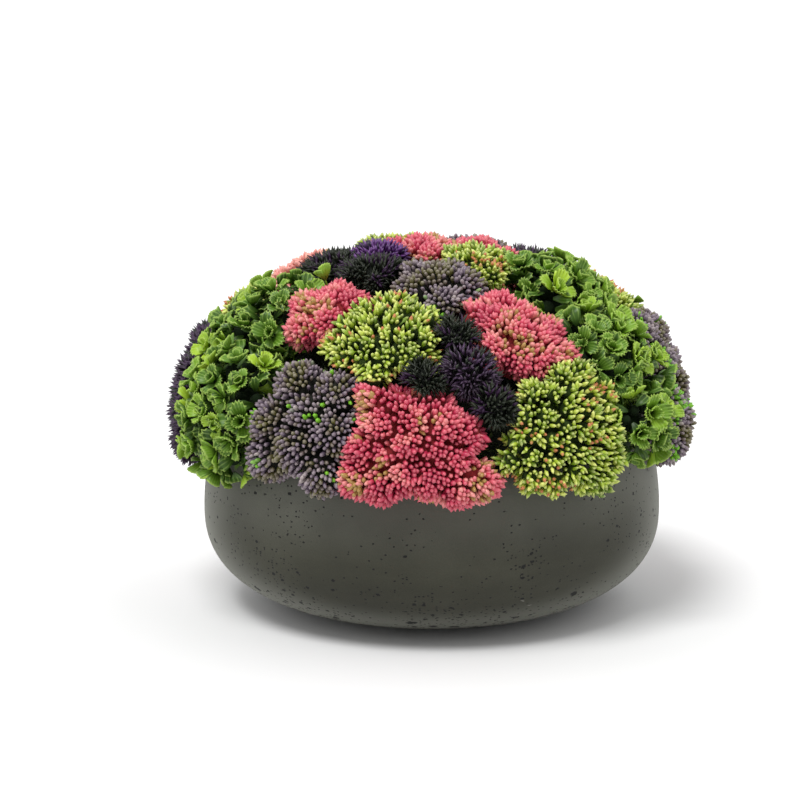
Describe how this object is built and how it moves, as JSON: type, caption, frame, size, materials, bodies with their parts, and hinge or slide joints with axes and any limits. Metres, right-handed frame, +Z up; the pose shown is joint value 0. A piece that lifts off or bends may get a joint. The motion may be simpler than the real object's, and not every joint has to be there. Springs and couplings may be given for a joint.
{
  "type": "succulent dish garden",
  "caption": "Low rounded dark concrete bowl filled with a dome of pink, lime, purple and near black sedum heads and toothed green rosettes, for a table top.",
  "frame": {"origin": "centre of the bowl's flat underside", "axes": "+Z up, -Y towards the front of the picture, +X to its right"},
  "size_m": [0.2538, 0.2534, 0.179],
  "materials": {
    "concrete": "matte dark concrete with pinholes",
    "moss": "rough dark foam",
    "pink_buds": "satin buds, deep pink tips and paler feet",
    "blush_buds": "satin pale pink buds",
    "lime_buds": "satin lime buds with cream tips",
    "mauve_buds": "satin grey purple buds",
    "dark_buds": "satin near black green buds",
    "plum_buds": "satin deep purple buds",
    "green_leaves": "satin leaves with pale veins"
  },
  "bodies": {
    "root": {"blush_head_top_rear_left": "blush_buds", "bowl": "concrete", "dark_head_centre": "dark_buds", "dark_head_low_left": "dark_buds", "dark_head_low_right": "dark_buds", "dark_head_rear_right_high": "dark_buds", "dark_head_top_front_left": "dark_buds", "dark_head_top_left": "dark_buds", "foam_mound": "moss", "green_bunch_left_high": "green_leaves", "green_bunch_left_low": "green_leaves", "green_bunch_rear_high": "green_leaves", "green_bunch_rear_low": "green_leaves", "green_bunch_right_high": "green_leaves", "green_bunch_right_low": "green_leaves", "green_bunch_right_middle": "green_leaves", "lime_head_centre": "lime_buds", "lime_head_left_side_high": "lime_buds", "lime_head_rear_left_low": "lime_buds", "lime_head_rear_right_high": "lime_buds", "lime_head_right_front": "lime_buds", "lime_head_top_rear": "lime_buds", "lime_head_top_rear_left": "lime_buds", "lime_head_top_right": "lime_buds", "mauve_head_left_front": "mauve_buds", "mauve_head_rear_left_high": "mauve_buds", "mauve_head_rear_low": "mauve_buds", "mauve_head_right_side": "mauve_buds", "mauve_head_top_front": "mauve_buds", "mauve_head_top_rear": "mauve_buds", "pink_head_front": "pink_buds", "pink_head_left": "pink_buds", "pink_head_rear_high": "pink_buds", "pink_head_rear_left_low": "pink_buds", "pink_head_rear_right_low": "pink_buds", "pink_head_right": "pink_buds", "pink_head_top_left": "pink_buds", "pink_head_top_right": "pink_buds", "plum_head_centre": "plum_buds", "plum_head_left_side": "plum_buds", "plum_head_top_left": "plum_buds", "plum_head_top_rear_right": "plum_buds"}
  },
  "joints": []
}
